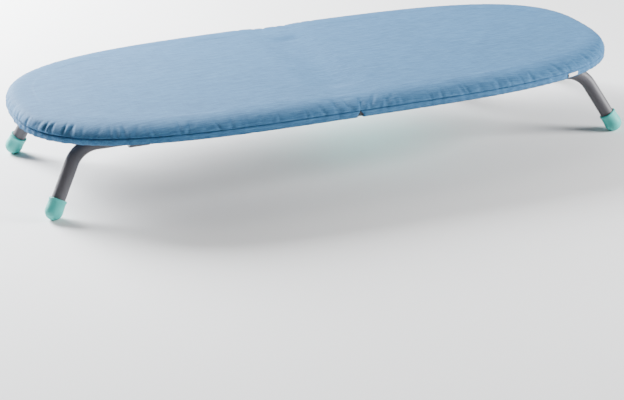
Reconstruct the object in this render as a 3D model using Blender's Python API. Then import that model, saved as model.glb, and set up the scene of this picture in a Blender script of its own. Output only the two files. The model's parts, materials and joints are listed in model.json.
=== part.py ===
"""A folding table-top ironing board: two moulded halves that hinge face to face, padded and covered,
on four bent tube legs that swing flat, with a sliding sleeve that couples the leg tubes across the fold.

Frame: +X along the board towards the half that carries the sleeve, -Y the labelled side, +Z up.
The origin is on the table, under the middle of the board. Metres throughout.
"""

import math

import bmesh
import bpy
from mathutils import Matrix, Vector

# Driving dimensions
HALF_LENGTH = 0.410          # fold line to nose, outside the cover
HALF_WIDTH = 0.180           # at the fold line, outside the cover
BOARD_TOP = 0.115            # top of the cover above the table
THICKNESS = 0.020            # top of the cover to the hem on the underside
TUBE_R = 0.009
TUBE_WALL = 0.0012
TUBE_Y = 0.105               # leg tube's axis from the board's middle line
TUBE_Z = 0.0855              # and above the table
FOLD_GAP = 0.0005            # each half stops this short of the fold line
GAP = 0.0003                 # clearance where two pieces touch

# The board's outline is y = HALF_WIDTH * (1 - (x / HALF_LENGTH)^P)^(1 / Q)
OUTLINE_P = 3.65
OUTLINE_Q = 2.66
OUTLINE_STEPS = 22

HEM_Z = BOARD_TOP - THICKNESS
COVER_T = 0.0010
HEM_WIDTH = 0.025
BASE_INSET = 0.0028
BASE_TOP = 0.107
PLATE_T = 0.0025
BASE_WALL = 0.0035
PANEL_Z = 0.0980             # underside of the ribs between the tubes
SIDE_RIB_Z = 0.1020          # underside of the ribs over the tubes
RIB_T = 0.0022
PANEL_EDGES = (0.0255, 0.0325, 0.0760)   # longitudinal ribs each side of the middle line
RIB_PITCH = 0.048
RIB_FIRST_X = 0.181
RIB_COUNT = 5
BOSS_Z = HEM_Z + 0.0016       # underside of the bosses that carry the clamps

# The fold hinge
FOLD_Z = 0.1125
HINGE_Y = 0.137
HINGE_WIDTH = 0.032
BARREL_R = 0.0024
PIN_R = 0.0012
LEAF_LENGTH = 0.028
LEAF_T = 0.0012
RELIEF_LENGTH = 0.046        # the padding thins towards the fold, so that the halves can close
RELIEF_Z = FOLD_Z - 0.0006   # top of the cover at the fold line

# Legs, at rest leaning outwards by the splay
SPLAY = math.radians(15)
LEG_ANGLE = math.radians(62)
BEND_R = 0.040
BEND_START_X = 0.325
CAP_R = 0.0118
CAP_LENGTH = 0.028
CAP_FLAT = 0.0007            # the ball is flattened this much where it stands on the table
TUBE_END_X = 0.004
ROUND_SIDES = 16

# Clamps
CLAMP_X = (0.1335, 0.272)
CLAMP_LENGTH = 0.027
CLAMP_R = 0.0128
FLANGE_REACH = 0.026
FLANGE_T = 0.003
SCREW_R = 0.0044
SCREW_Y = 0.0195

# Sliding sleeve
SLEEVE_X = (0.001, 0.117)
SLEEVE_HALF_WIDTH = 0.127
SLEEVE_Z = (0.0735, 0.0970)
SLEEVE_BORE_R = 0.0096
TAB_TOP_X = 0.170
TAB_HALF_WIDTH = 0.066
TAB_TOP_Z = 0.0865
TAB_CORNER_R = 0.024
SHOULDER_R = 0.014
GRIP_X = 0.139
GRIP_HALF_LENGTH = 0.048
GRIP_R = 0.0115
GRIP_DEPTH = 0.009

# Closure strap on the far tube of the +X half
STRAP_X = 0.210
STRAP_WIDTH = 0.022
STRAP_T = 0.0016
STRAP_RING_R = TUBE_R + 0.0006

MATERIALS = {
    "cover_fabric": ((0.16, 0.30, 0.43), 0.9, 0.0),
    "foam": ((0.75, 0.74, 0.70), 0.95, 0.0),
    "grey_plastic": ((0.13, 0.13, 0.14), 0.5, 0.0),
    "clamp_plastic": ((0.09, 0.09, 0.10), 0.45, 0.0),
    "painted_tube": ((0.20, 0.19, 0.20), 0.4, 0.0),
    "mint_rubber": ((0.22, 0.60, 0.50), 0.6, 0.0),
    "mint_plastic": ((0.22, 0.60, 0.58), 0.45, 0.0),
    "steel": ((0.75, 0.75, 0.77), 0.3, 1.0),
    "webbing": ((0.04, 0.07, 0.14), 0.9, 0.0),
    "label": ((0.9, 0.9, 0.9), 0.7, 0.0),
}


def clear_scene():
    for obj in list(bpy.data.objects):
        bpy.data.objects.remove(obj)


def material(name):
    found = bpy.data.materials.get(name)
    if found:
        return found
    colour, roughness, metallic = MATERIALS[name]
    made = bpy.data.materials.new(name)
    made.use_nodes = True
    shader = made.node_tree.nodes["Principled BSDF"]
    shader.inputs["Base Color"].default_value = (*colour, 1)
    shader.inputs["Roughness"].default_value = roughness
    shader.inputs["Metallic"].default_value = metallic
    return made


def add_object(name, bm, slot, parent=None):
    """One object from bm, its faces turned outwards, in world coordinates even when it has a parent."""
    bmesh.ops.remove_doubles(bm, verts=bm.verts, dist=1e-6)
    bmesh.ops.recalc_face_normals(bm, faces=bm.faces)
    mesh = bpy.data.meshes.new(name)
    bm.to_mesh(mesh)
    bm.free()
    mesh.materials.append(material(slot))
    mesh.shade_smooth()
    mesh.set_sharp_from_angle(angle=math.radians(35))
    obj = bpy.data.objects.new(name, mesh)
    bpy.context.scene.collection.objects.link(obj)
    if parent:
        obj.parent = parent
        mesh.transform(Matrix.Translation(-parent.location))
    return obj


def add_empty(name, location):
    empty = bpy.data.objects.new(name, None)
    empty.location = location
    bpy.context.scene.collection.objects.link(empty)
    return empty


def combine(obj, cutters, operation="DIFFERENCE"):
    """Adds one exact Boolean for each cutter, and hides the cutters."""
    for cutter in cutters:
        cutter.hide_render = True
        cutter.display_type = "WIRE"
        modifier = obj.modifiers.new(operation.lower(), "BOOLEAN")
        modifier.operation = operation
        modifier.solver = "EXACT"
        modifier.object = cutter
    return obj


def prism(points, low, high, up=None):
    """A closed prism on a flat outline. up maps (a, b, height) to a world point, and defaults to (x, y, z)."""
    up = up or (lambda a, b, h: (a, b, h))
    bm = bmesh.new()
    bottom = [bm.verts.new(up(a, b, low)) for a, b in points]
    top = [bm.verts.new(up(a, b, high)) for a, b in points]
    bm.faces.new(bottom[::-1])
    bm.faces.new(top)
    for i in range(len(points)):
        j = (i + 1) % len(points)
        bm.faces.new((bottom[i], bottom[j], top[j], top[i]))
    return bm


def box(low, high):
    (x0, y0, z0), (x1, y1, z1) = low, high
    return prism([(x0, y0), (x1, y0), (x1, y1), (x0, y1)], z0, z1)


def slab(side, start_x, inset, bottom, top, fold_top):
    """A layer of one half: flat, but sloping down to fold_top over the last stretch before the fold line."""
    points = outline(side, start_x, inset)

    def level(x):
        return fold_top + (top - fold_top) * min(abs(x) / RELIEF_LENGTH, 1.0)

    bm = bmesh.new()
    lows = [bm.verts.new((x, y, bottom)) for x, y in points]
    highs = [bm.verts.new((x, y, level(x))) for x, y in points]
    bm.faces.new(lows)
    ramp = [v for v in highs if abs(v.co.x) <= RELIEF_LENGTH + 1e-6]
    flat = [v for v in highs if abs(v.co.x) >= RELIEF_LENGTH - 1e-6]
    bm.faces.new(ramp)
    bm.faces.new(flat)
    for i in range(len(points)):
        j = (i + 1) % len(points)
        bm.faces.new((lows[i], lows[j], highs[j], highs[i]))
    return bm


def sided_box(side, x, y, z):
    """A box between the pairs x, y and z, with x measured from the fold line towards this side's nose."""
    low, high = sorted((side * x[0], side * x[1]))
    return box((low, min(y), min(z)), (high, max(y), max(z)))


def arc(centre, radius, start, end, steps):
    """Points on an arc, from start to end in degrees."""
    turns = [math.radians(start + (end - start) * i / steps) for i in range(steps + 1)]
    return [(centre[0] + radius * math.cos(t), centre[1] + radius * math.sin(t)) for t in turns]


def half_width(x, inset=0.0):
    """The outline's half width at x, for an outline drawn in by inset."""
    share = min(x / (HALF_LENGTH - inset), 1.0)
    return (HALF_WIDTH - inset) * (1 - share**OUTLINE_P) ** (1 / OUTLINE_Q)


def outline(side, start_x, inset):
    """One half's outline, from the fold line on -Y round the nose to the fold line on +Y."""
    length = HALF_LENGTH - inset
    turns = [math.pi / 2 * i / OUTLINE_STEPS for i in range(OUTLINE_STEPS + 1)]
    stations = {round(max(start_x, length * math.sin(turn) ** 0.9), 6) for turn in turns}
    stations = sorted(x for x in stations if abs(x - RELIEF_LENGTH) > 0.004)
    stations = sorted([*stations, RELIEF_LENGTH])
    points = [(x, -half_width(x, inset)) for x in stations]
    points += [(x, -y) for x, y in points[-2::-1]]
    return [(side * x, y) for x, y in points]


def turned(profile, origin, direction, steps=ROUND_SIDES):
    """A solid turned from (radius, distance along direction) points, closed on its axis at both ends."""
    direction = Vector(direction).normalized()
    across = direction.orthogonal().normalized()
    third = direction.cross(across)
    bm = bmesh.new()
    rings = []
    for radius, along in profile:
        centre = Vector(origin) + direction * along
        if radius == 0:
            rings.append([bm.verts.new(centre)])
            continue
        turns = [2 * math.pi * k / steps for k in range(steps)]
        spokes = [across * math.cos(t) + third * math.sin(t) for t in turns]
        rings.append([bm.verts.new(centre + spoke * radius) for spoke in spokes])
    for a, b in zip(rings, rings[1:]):
        for k in range(steps):
            j = (k + 1) % steps
            corners = [a[k % len(a)], a[j % len(a)], b[j % len(b)], b[k % len(b)]]
            bm.faces.new(list(dict.fromkeys(corners)))
    return bm


def sweep(path, outer_r, inner_r):
    """A hollow round tube along a path in one plane, with flat ring ends."""
    bm = bmesh.new()
    normal = (path[1] - path[0]).cross(path[-1] - path[0]).normalized()
    loops = []
    for i, point in enumerate(path):
        before = path[max(i - 1, 0)]
        after = path[min(i + 1, len(path) - 1)]
        along = (after - before).normalized()
        across = normal.cross(along)
        turns = [2 * math.pi * k / ROUND_SIDES for k in range(ROUND_SIDES)]
        spokes = [across * math.cos(t) + normal * math.sin(t) for t in turns]
        loops.append([[bm.verts.new(point + s * r) for s in spokes] for r in (outer_r, inner_r)])
    for k in range(ROUND_SIDES):
        j = (k + 1) % ROUND_SIDES
        for (outer_a, inner_a), (outer_b, inner_b) in zip(loops, loops[1:]):
            bm.faces.new((outer_a[k], outer_a[j], outer_b[j], outer_b[k]))
            bm.faces.new((inner_a[j], inner_a[k], inner_b[k], inner_b[j]))
        for outer, inner in (loops[0], loops[-1]):
            bm.faces.new((outer[k], outer[j], inner[j], inner[k]))
    return bm


def add_base(side, name):
    """The moulded tray: a top plate, a wall round it, and a grid of ribs between the leg tubes."""
    base = add_object(f"base_{name}", prism(outline(side, FOLD_GAP, BASE_INSET), HEM_Z + 0.0012, BASE_TOP), "grey_plastic")
    plate_z = BASE_TOP - PLATE_T
    inner = BASE_INSET + BASE_WALL
    cavity = add_object(f"cut_cavity_{name}", prism(outline(side, 0.004, inner), 0.08, plate_z), "grey_plastic")
    mouth = add_object(
        f"cut_mouth_{name}",
        sided_box(side, (-0.002, 0.006), (-0.146, 0.146), (0.080, plate_z)),
        "grey_plastic",
    )
    combine(base, [cavity, mouth])
    ribs = []
    rib_end = RIB_FIRST_X + RIB_PITCH * (RIB_COUNT - 1)
    top = plate_z + 0.001
    for y in [sign * edge for edge in PANEL_EDGES for sign in (-1, 1)]:
        y_span = (y - RIB_T / 2, y + RIB_T / 2)
        ribs.append(sided_box(side, (RIB_FIRST_X - RIB_T, rib_end + RIB_T), y_span, (PANEL_Z, top)))
    for i in range(RIB_COUNT):
        x = RIB_FIRST_X + RIB_PITCH * i
        x_span = (x - RIB_T / 2, x + RIB_T / 2)
        reach = PANEL_EDGES[-1] + RIB_T / 2
        ribs.append(sided_box(side, x_span, (-reach, reach), (PANEL_Z + 0.0004, top)))
        in_clamp = abs(x - CLAMP_X[1]) < CLAMP_LENGTH / 2 + RIB_T
        start = TUBE_Y + FLANGE_REACH + 0.001 if in_clamp else reach - RIB_T / 2
        edge = half_width(x, 0.003)
        for sign in (-1, 1):
            ribs.append(sided_box(side, x_span, (sign * start, sign * edge), (SIDE_RIB_Z, top)))
    reach = FLANGE_REACH + 0.0035
    holes = []
    for x in CLAMP_X:
        x_span = (x - CLAMP_LENGTH / 2 - 0.0015, x + CLAMP_LENGTH / 2 + 0.0015)
        for y in (-TUBE_Y, TUBE_Y):
            ribs.append(sided_box(side, x_span, (y - reach, y + reach), (BOSS_Z, top)))
            for offset in (-SCREW_Y, SCREW_Y):
                hole = [(0, 0), (0.0021, 0), (0.0021, 0.007), (0, 0.007)]
                holes.append(turned(hole, (side * x, y + offset, BOSS_Z - 0.001), (0, 0, 1), 10))
    combine(base, [add_object(f"add_rib_{name}_{i}", rib, "grey_plastic") for i, rib in enumerate(ribs)], "UNION")
    combine(base, [add_object(f"cut_hole_{name}_{i}", hole, "grey_plastic") for i, hole in enumerate(holes)])


def barrel_notches(side, name, x_end, z):
    """Room for the two hinges, as far as x_end from the fold line, between the heights z."""
    half = HINGE_WIDTH / 2 + 0.0010
    spans = {"near": (-HINGE_Y - half, -HINGE_Y + half), "far": (HINGE_Y - half, HINGE_Y + half)}
    boxes = {edge: sided_box(side, (-0.006, x_end), y_span, z) for edge, y_span in spans.items()}
    return [add_object(f"{name}_{edge}", shape, "foam") for edge, shape in boxes.items()]


def add_padding(side, name):
    skin = COVER_T + GAP
    layer = slab(side, 0.001, 0.0035, BASE_TOP + GAP, BOARD_TOP - skin, RELIEF_Z - skin)
    pad = add_object(f"pad_{name}", layer, "foam")
    leaf_room = barrel_notches(side, f"cut_pad_leaf_{name}", LEAF_LENGTH + 0.002, (0.1, BASE_TOP + 0.002))
    barrel_room = barrel_notches(side, f"cut_pad_barrel_{name}", 0.0085, (0.1, BOARD_TOP + 0.004))
    combine(pad, [*leaf_room, *barrel_room])


def add_cover(side, name):
    """The fabric cover of one half: top skin, skirt, and a hem turned in under the tray's wall."""
    outer = slab(side, 0.001, 0.0, HEM_Z, BOARD_TOP, RELIEF_Z)
    cover = add_object(f"cover_{name}", outer, "cover_fabric")
    inside = slab(side, 0.0, COVER_T, HEM_Z + COVER_T, BOARD_TOP - COVER_T, RELIEF_Z - COVER_T)
    hem_hole = prism(outline(side, 0.0, HEM_WIDTH), HEM_Z - 0.002, HEM_Z + COVER_T + 0.002)
    cutters = [
        add_object(f"cut_cover_inside_{name}", inside, "cover_fabric"),
        add_object(f"cut_cover_hem_{name}", hem_hole, "cover_fabric"),
        *barrel_notches(side, f"cut_cover_barrel_{name}", 0.0080, (BASE_TOP - 0.001, BOARD_TOP + 0.004)),
    ]
    combine(cover, cutters)


def add_hinge_leaf(side, name, y, knuckles):
    """One leaf of a fold hinge. knuckles are (centre offset, length) pairs along the pin."""
    half = HINGE_WIDTH / 2
    low = BASE_TOP + GAP
    leaf = sided_box(side, (0.005, LEAF_LENGTH), (y - half, y + half), (low, low + LEAF_T))
    obj = add_object(f"hinge_leaf_{name}", leaf, "steel")
    top = FOLD_Z - 0.0002
    section = [(0.0065, low + 0.0002), (0.0065, top), *arc((0, FOLD_Z), BARREL_R, -5, 280, 14)]
    section += [(0.0004, low + 0.0002)]
    bore_r = PIN_R + 0.0002
    for i, (offset, length) in enumerate(knuckles):
        y0, y1 = y + offset - length / 2, y + offset + length / 2
        knuckle = prism(section, y0, y1, lambda a, b, h: (side * a, h, b))
        hole = [(0, 0), (bore_r, 0), (bore_r, length + 0.0008), (0, length + 0.0008)]
        bore = turned(hole, (0, y0 - 0.0004, FOLD_Z), (0, 1, 0), 12)
        combine(obj, [add_object(f"add_knuckle_{name}_{i}", knuckle, "steel")], "UNION")
        combine(obj, [add_object(f"cut_bore_{name}_{i}", bore, "steel")])


def add_hinge(name, y):
    middle = 0.012
    outer = 0.0090
    clearance = 0.0005
    offset = middle / 2 + clearance + outer / 2
    add_hinge_leaf(1, f"right_{name}", y, [(0, middle)])
    add_hinge_leaf(-1, f"left_{name}", y, [(-offset, outer), (offset, outer)])
    length = HINGE_WIDTH
    pin = turned([(0, 0), (PIN_R, 0), (PIN_R, length), (0, length)], (0, y - length / 2, FOLD_Z), (0, 1, 0), 12)
    add_object(f"hinge_pin_{name}", pin, "steel")


def leg_path(side, sign):
    """The leg tube's middle line at rest, with the drop counted from its straight run's axis."""
    points = [(TUBE_END_X, 0.0)]
    points += [(BEND_START_X, 0.0)]
    steps = 8
    for i in range(1, steps + 1):
        turn = LEG_ANGLE * i / steps
        points.append((BEND_START_X + BEND_R * math.sin(turn), BEND_R * (1 - math.cos(turn))))
    x, drop = points[-1]
    run = leg_run()
    along = (math.cos(LEG_ANGLE), math.sin(LEG_ANGLE))
    end = run - CAP_R * 0.2
    points.append((x + end * along[0], drop + end * along[1]))
    return [leg_point(side, sign, *point) for point in points]


def leg_run():
    """Length of the leg's straight end, from the bend to the middle of the foot's ball."""
    reach = (TUBE_Z - CAP_R + CAP_FLAT) / math.cos(SPLAY)
    return (reach - BEND_R * (1 - math.cos(LEG_ANGLE))) / math.sin(LEG_ANGLE)


def leg_point(side, sign, x, drop):
    """A point of a leg's own plane, which hangs from the straight run and leans out by the splay."""
    y = sign * (TUBE_Y + drop * math.sin(SPLAY))
    return Vector((side * x, y, TUBE_Z - drop * math.cos(SPLAY)))


def add_leg(side, sign, name):
    pivot = add_empty(f"pivot_{name}", (0, sign * TUBE_Y, TUBE_Z))
    path = leg_path(side, sign)
    add_object(f"leg_tube_{name}", sweep(path, TUBE_R, TUBE_R - TUBE_WALL), "painted_tube", pivot)
    along = (path[-1] - path[-2]).normalized()
    ball = path[-1] + along * CAP_R * 0.2
    mouth = -CAP_LENGTH + CAP_R
    profile = [(0, -0.0022), (TUBE_R + GAP, -0.0022), (TUBE_R + GAP, mouth)]
    profile += [(CAP_R, mouth), (CAP_R, 0.0)]
    rounds = 5
    for i in range(1, rounds + 1):
        turn = math.pi / 2 * i / rounds
        profile.append((CAP_R * math.cos(turn) if i < rounds else 0, CAP_R * math.sin(turn)))
    cap = add_object(f"foot_cap_{name}", turned(profile, ball, along), "mint_rubber", pivot)
    x, y = ball.x, ball.y
    table = box((x - 0.02, y - 0.02, -0.01), (x + 0.02, y + 0.02, 0.0))
    combine(cap, [add_object(f"cut_table_{name}", table, "mint_rubber")])
    plug_r = TUBE_R - TUBE_WALL - GAP
    start = Vector((side * TUBE_END_X, sign * TUBE_Y, TUBE_Z))
    head = 0.0018
    plug = [(0, -head), (TUBE_R - 0.0004, -head), (TUBE_R - 0.0004, -GAP), (plug_r, -GAP)]
    plug += [(plug_r, 0.010), (0, 0.010)]
    add_object(f"tube_plug_{name}", turned(plug, start, (side, 0, 0)), "clamp_plastic", pivot)


def clamp_section():
    """A saddle clamp's section across the tube: y from the tube's axis, z from the table."""
    seat = BOSS_Z - GAP
    foot = FLANGE_REACH
    flange = seat - FLANGE_T
    outer = arc((0, TUBE_Z), CLAMP_R, 180, 360, 12)
    left = [(-foot, seat), (-foot, flange), (-CLAMP_R, flange)]
    right = [(CLAMP_R, flange), (foot, flange), (foot, seat)]
    inner_r = TUBE_R + GAP
    inner = [(inner_r, seat), *arc((0, TUBE_Z), inner_r, 360, 180, 12), (-inner_r, seat)]
    return [*left, *outer, *right, *inner]


def add_clamp(side, sign, x, name):
    """A saddle that holds the tube up in the tray, with a screw through each foot."""
    section = [(y + sign * TUBE_Y, z) for y, z in clamp_section()]
    x0, x1 = sorted((side * (x - CLAMP_LENGTH / 2), side * (x + CLAMP_LENGTH / 2)))
    clamp = add_object(f"clamp_{name}", prism(section, x0, x1, lambda a, b, h: (h, a, b)), "clamp_plastic")
    head_z = BOSS_Z - GAP - FLANGE_T
    for label, offset in (("in", -sign * SCREW_Y), ("out", sign * SCREW_Y)):
        centre = (side * x, sign * TUBE_Y + offset, head_z)
        shank = turned([(0, -0.001), (0.0021, -0.001), (0.0021, 0.005), (0, 0.005)], centre, (0, 0, 1), 10)
        combine(clamp, [add_object(f"cut_screw_{name}_{label}", shank, "clamp_plastic")])
        profile = [(0, -0.0030), (0.0028, -0.0026), (SCREW_R, -0.0012), (SCREW_R, -GAP)]
        profile += [(0.0018, -GAP), (0.0018, 0.0075), (0, 0.0085)]
        add_object(f"screw_{name}_{label}", turned(profile, centre, (0, 0, 1), 10), "steel")


def sleeve_outline():
    """The sleeve seen from below: a wide body with a rounded grip tab towards the nose."""
    x0, x1 = SLEEVE_X
    wide, tab = SLEEVE_HALF_WIDTH, TAB_HALF_WIDTH
    half = [(x0, 0.0), (x0, wide - 0.006), (x0 + 0.004, wide), (x1 - 0.003, wide), (x1, wide - 0.003)]
    half += [(x, y) for x, y in arc((x1 + SHOULDER_R, tab + SHOULDER_R), SHOULDER_R, 180, 270, 5)]
    half += [(x, y) for x, y in arc((TAB_TOP_X - TAB_CORNER_R, tab - TAB_CORNER_R), TAB_CORNER_R, 90, 0, 6)]
    return half + [(x, -y) for x, y in half[:0:-1]]


def add_sleeve():
    """Slides along the leg tubes: half its travel past the fold line it holds both pairs in line."""
    z0, z1 = SLEEVE_Z
    sleeve = add_object("lock_sleeve", prism(sleeve_outline(), z0, z1), "mint_plastic")
    tab_room = box((SLEEVE_X[1], -0.09, TAB_TOP_Z), (TAB_TOP_X + 0.01, 0.09, z1 + 0.002))
    core_half = TUBE_Y - 0.022
    core = box((SLEEVE_X[0] - 0.002, -core_half, TAB_TOP_Z), (SLEEVE_X[1] + 0.001, core_half, z1 + 0.002))
    start, end = SLEEVE_X[0] - 0.003, SLEEVE_X[1] + 0.003
    bores = []
    for sign in (-1, 1):
        profile = [(0, 0), (SLEEVE_BORE_R, 0), (SLEEVE_BORE_R, end - start), (0, end - start)]
        bores.append(turned(profile, (start, sign * TUBE_Y, TUBE_Z), (1, 0, 0)))
    run = GRIP_HALF_LENGTH - GRIP_R
    grip = arc((GRIP_X, run), GRIP_R, 0, 180, 8) + arc((GRIP_X, -run), GRIP_R, 180, 360, 8)
    shapes = {"tab_room": tab_room, "core": core, "bore_near": bores[0], "bore_far": bores[1]}
    shapes["grip"] = prism(grip, z0 - 0.002, z0 + GRIP_DEPTH)
    combine(sleeve, [add_object(f"cut_sleeve_{name}", shape, "mint_plastic") for name, shape in shapes.items()])
    bevel = sleeve.modifiers.new("soft_edges", "BEVEL")
    bevel.width = 0.0018
    bevel.segments = 2
    bevel.limit_method = "ANGLE"
    bevel.angle_limit = math.radians(60)
    # The bevel comes before the cuts, on the plain prism
    sleeve.modifiers.move(len(sleeve.modifiers) - 1, 0)


def add_strap():
    """A webbing ring on the tube, with a long loop hanging from it that ties the closed halves."""
    t = STRAP_T
    ring = turned(
        [(0, 0), (STRAP_RING_R + t, 0), (STRAP_RING_R + t, STRAP_WIDTH), (0, STRAP_WIDTH)],
        (STRAP_X - STRAP_WIDTH / 2, TUBE_Y, TUBE_Z),
        (1, 0, 0),
    )
    strap = add_object("closure_strap", ring, "webbing")
    bore = turned(
        [(0, 0), (STRAP_RING_R, 0), (STRAP_RING_R, STRAP_WIDTH + 0.004), (0, STRAP_WIDTH + 0.004)],
        (STRAP_X - STRAP_WIDTH / 2 - 0.002, TUBE_Y, TUBE_Z),
        (1, 0, 0),
    )
    outer, inner = loop_outline(t), loop_outline(-t)
    x0, x1 = STRAP_X - STRAP_WIDTH / 2, STRAP_X + STRAP_WIDTH / 2
    loop = prism(outer, x0, x1, lambda a, b, h: (h, a, b))
    hole = prism(inner, x0 - 0.002, x1 + 0.002, lambda a, b, h: (h, a, b))
    combine(strap, [add_object("add_strap_loop", loop, "webbing")], "UNION")
    combine(strap, [add_object("cut_strap_hole", hole, "webbing"), add_object("cut_strap_bore", bore, "webbing")])


def loop_outline(offset):
    """A teardrop that hangs down and outwards from the ring, drawn out or in by half the offset."""
    start = Vector((TUBE_Y + 0.0072, TUBE_Z - 0.0072))
    tip = Vector((TUBE_Y + 0.030, TUBE_Z - 0.062))
    along = (tip - start).normalized()
    across = Vector((-along.y, along.x))
    length = (tip - start).length
    widest = 0.0085
    steps = 10
    sides = {1: [], -1: []}
    for i in range(steps + 1):
        share = i / steps
        width = widest * math.sin(math.pi * share**1.6) ** 0.7 if 0 < i < steps else 0.0
        for sign in sides:
            reach = sign * (width + offset / 2 + (0.0012 if offset > 0 else 0.0))
            sides[sign].append(start + along * (length * share + (offset / 2 if i == steps else 0)) + across * reach)
    if offset < 0:
        sides = {sign: points[3:-1] for sign, points in sides.items()}
    return [tuple(p) for p in sides[1] + sides[-1][::-1]]


def add_label():
    """A small woven tag on the near skirt of the +X half."""
    centre_x, length, height = 0.318, 0.017, 0.0065
    y0 = -half_width(centre_x)
    slope = (half_width(centre_x + 0.01) - half_width(centre_x - 0.01)) / 0.02
    along = Vector((1, -slope, 0)).normalized()
    out = Vector((along.y, -along.x, 0))
    origin = Vector((centre_x, y0, HEM_Z + 0.0010)) + out * 0.0007
    corners = [(-length / 2, 0.0), (length / 2, 0.0), (length / 2, height), (-length / 2, height)]
    tag = prism(corners, 0.0, 0.0007, lambda a, b, h: origin + along * a + Vector((0, 0, b)) + out * h)
    add_object("side_label", tag, "label")


def main():
    clear_scene()
    for side, half in ((1, "right"), (-1, "left")):
        add_base(side, half)
        add_padding(side, half)
        add_cover(side, half)
        for sign, edge in ((-1, "near"), (1, "far")):
            add_leg(side, sign, f"{half}_{edge}")
            for x, place in zip(CLAMP_X, ("fold", "nose")):
                add_clamp(side, sign, x, f"{half}_{edge}_{place}")
    add_hinge("near", -HINGE_Y)
    add_hinge("far", HINGE_Y)
    add_sleeve()
    add_strap()
    add_label()


main()
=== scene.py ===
import json
import math
import random

import bmesh
import bpy
from mathutils import Matrix, Vector


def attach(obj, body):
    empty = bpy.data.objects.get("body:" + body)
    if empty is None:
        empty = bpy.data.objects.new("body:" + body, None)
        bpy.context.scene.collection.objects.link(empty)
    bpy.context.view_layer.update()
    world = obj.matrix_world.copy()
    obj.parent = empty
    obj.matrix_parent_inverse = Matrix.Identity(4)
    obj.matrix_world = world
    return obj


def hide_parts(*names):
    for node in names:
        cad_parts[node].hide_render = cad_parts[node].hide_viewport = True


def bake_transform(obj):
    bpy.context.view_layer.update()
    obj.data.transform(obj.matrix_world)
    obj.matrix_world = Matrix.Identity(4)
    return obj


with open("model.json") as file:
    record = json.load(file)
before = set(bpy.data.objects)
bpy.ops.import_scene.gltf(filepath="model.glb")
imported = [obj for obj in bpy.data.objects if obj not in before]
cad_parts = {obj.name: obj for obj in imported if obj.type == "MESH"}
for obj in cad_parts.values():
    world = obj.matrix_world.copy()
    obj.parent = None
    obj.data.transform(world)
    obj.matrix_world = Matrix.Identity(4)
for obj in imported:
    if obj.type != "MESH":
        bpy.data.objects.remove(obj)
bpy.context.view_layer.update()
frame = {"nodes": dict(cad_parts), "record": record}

# The frame's own sizes, in metres
HALF_LENGTH, HALF_WIDTH = 0.410, 0.180
OUTLINE_P, OUTLINE_Q = 3.65, 2.66
BOARD_TOP, BASE_TOP = 0.115, 0.107
RELIEF_LENGTH, RELIEF_Z = 0.046, 0.1119
TUBE_R, TUBE_Y, TUBE_Z = 0.009, 0.105, 0.0855
SPLAY, LEG_ANGLE, BEND_R, BEND_START_X = math.radians(15), math.radians(62), 0.040, 0.325
CAP_R, CAP_LENGTH, CAP_FLAT = 0.0118, 0.028, 0.0007
CLAMP_X, CLAMP_LENGTH, CLAMP_R = (0.1335, 0.272), 0.027, 0.0128
CLAMP_SEAT, FLANGE_REACH, FLANGE_T = 0.0963, 0.026, 0.003
SLEEVE_X, SLEEVE_Z, SLEEVE_HALF_WIDTH = (0.001, 0.117), (0.0735, 0.0970), 0.127
TAB_TOP_X, TAB_HALF_WIDTH, TAB_TOP_Z, TAB_CORNER_R, SHOULDER_R = 0.170, 0.066, 0.0865, 0.024, 0.014
GRIP_X, GRIP_HALF_LENGTH, GRIP_R, GRIP_DEPTH = 0.139, 0.048, 0.0115, 0.009
SIDES = ((1, "right"), (-1, "left"))
EDGES = ((-1, "near"), (1, "far"))


# ---------------------------------------------------------------- materials

def shader(name):
    """A new material, its nodes and links, and its Principled shader."""
    made = bpy.data.materials.new(name)
    made.use_nodes = True
    nodes, links = made.node_tree.nodes, made.node_tree.links
    return made, nodes, links, nodes["Principled BSDF"]


def noise(nodes, links, scale, stretch=(1, 1, 1), detail=3.0, rough=0.5):
    """Noise in the object's own metres: the higher a stretch, the finer the noise along that axis."""
    coords = nodes.new("ShaderNodeTexCoord")
    mapping = nodes.new("ShaderNodeMapping")
    mapping.inputs["Scale"].default_value = stretch
    texture = nodes.new("ShaderNodeTexNoise")
    texture.inputs["Scale"].default_value = scale
    texture.inputs["Detail"].default_value = detail
    texture.inputs["Roughness"].default_value = rough
    links.new(coords.outputs["Object"], mapping.inputs["Vector"])
    links.new(mapping.outputs["Vector"], texture.inputs["Vector"])
    return texture.outputs["Fac"]


def ramp(nodes, links, source, stops):
    made = nodes.new("ShaderNodeValToRGB")
    elements = made.color_ramp.elements
    while len(elements) < len(stops):
        elements.new(0.5)
    for element, (place, colour) in zip(elements, stops):
        element.position = place
        element.color = (*colour, 1)
    links.new(source, made.inputs["Fac"])
    return made.outputs["Color"]


def mix(nodes, links, a, b, factor):
    """Blends a and b, each a socket or a value, by a factor."""
    made = nodes.new("ShaderNodeMix")
    made.data_type = "RGBA"
    for socket, value in (("A", a), ("B", b), ("Factor", factor)):
        slot = [s for s in made.inputs if s.name == socket and s.enabled][0]
        if hasattr(value, "is_linked"):
            links.new(value, slot)
        else:
            slot.default_value = (*value, 1) if isinstance(value, tuple) else value
    return [s for s in made.outputs if s.name == "Result" and s.enabled][0]


def bump(nodes, links, height, strength, distance, normal=None):
    made = nodes.new("ShaderNodeBump")
    made.inputs["Strength"].default_value = strength
    made.inputs["Distance"].default_value = distance
    links.new(height, made.inputs["Height"])
    if normal:
        links.new(normal, made.inputs["Normal"])
    return made.outputs["Normal"]


def scaled(colour, share):
    """The colour made lighter or darker by a share."""
    return tuple(min(c * share, 1.0) for c in colour)


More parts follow.
